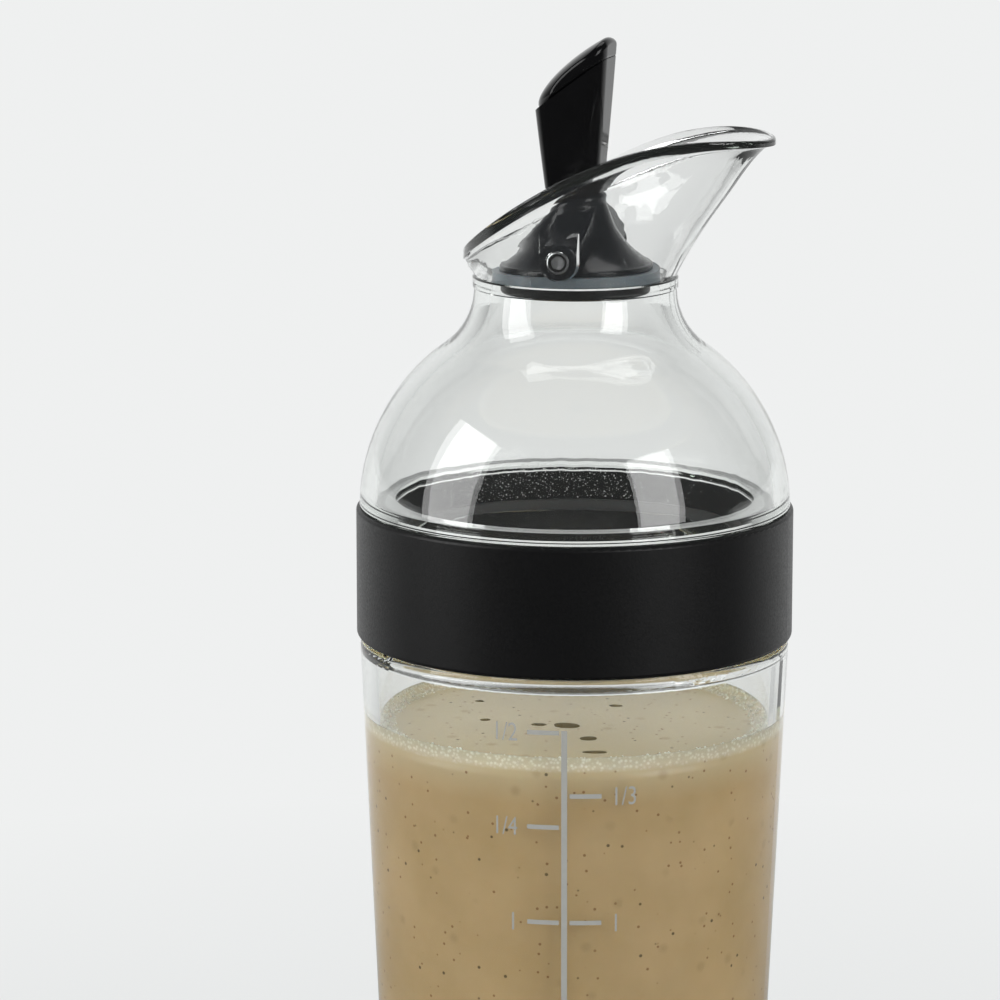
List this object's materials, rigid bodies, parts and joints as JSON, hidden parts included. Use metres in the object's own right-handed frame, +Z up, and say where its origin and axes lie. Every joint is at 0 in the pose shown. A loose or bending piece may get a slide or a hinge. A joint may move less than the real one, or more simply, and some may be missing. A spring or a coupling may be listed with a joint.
{
  "type": "salad dressing shaker",
  "caption": "Clear tapered bottle with a screw-on domed lid, a slanted pouring cup with a spout, and a tipping stopper worked by a thumb lever.",
  "frame": {"origin": "middle of the bottle's foot, on the table", "axes": "+Z up the bottle, +X towards the pouring spout"},
  "size_m": [0.076, 0.076, 0.2269],
  "materials": {
    "clear_plastic": "polished clear, faint green in thick edges",
    "black_plastic": "moulded, half gloss",
    "black_gloss": "polished",
    "soft_black": "matte, fine grain",
    "silicone": "translucent grey, satin",
    "steel": "polished stainless"
  },
  "bodies": {
    "bottle": {"bottle": "clear_plastic"},
    "gasket": {"lid_gasket": "silicone"},
    "lid": {"lid_dome": "clear_plastic", "lid_collar": "black_plastic", "grip_band": "soft_black"},
    "stopper": {"stopper_hub": "black_plastic", "stopper_plate": "black_plastic", "stopper_seal": "silicone", "pivot_pin": "steel", "lever": "black_gloss", "lever_cap": "black_gloss"}
  },
  "joints": [
    {"name": "lid_lift", "type": "slide", "parent": "bottle", "child": "gasket", "axis": [0, 0, 1], "range_m": [0, 0.018]},
    {"name": "lid_turn", "type": "hinge", "parent": "gasket", "child": "lid", "pos_m": [0, 0, 0.1344], "axis": [0, 0, 1], "range_deg": [0, 1080]},
    {"name": "stopper_tilt", "type": "hinge", "parent": "lid", "child": "stopper", "pos_m": [0.0015, 0, 0.1904], "axis": [0, -1, 0], "range_deg": [0, 60]}
  ],
  "couplings": [
    {"joint": "lid_lift", "follows": "lid_turn", "m_per_rad": 0.00095493}
  ]
}
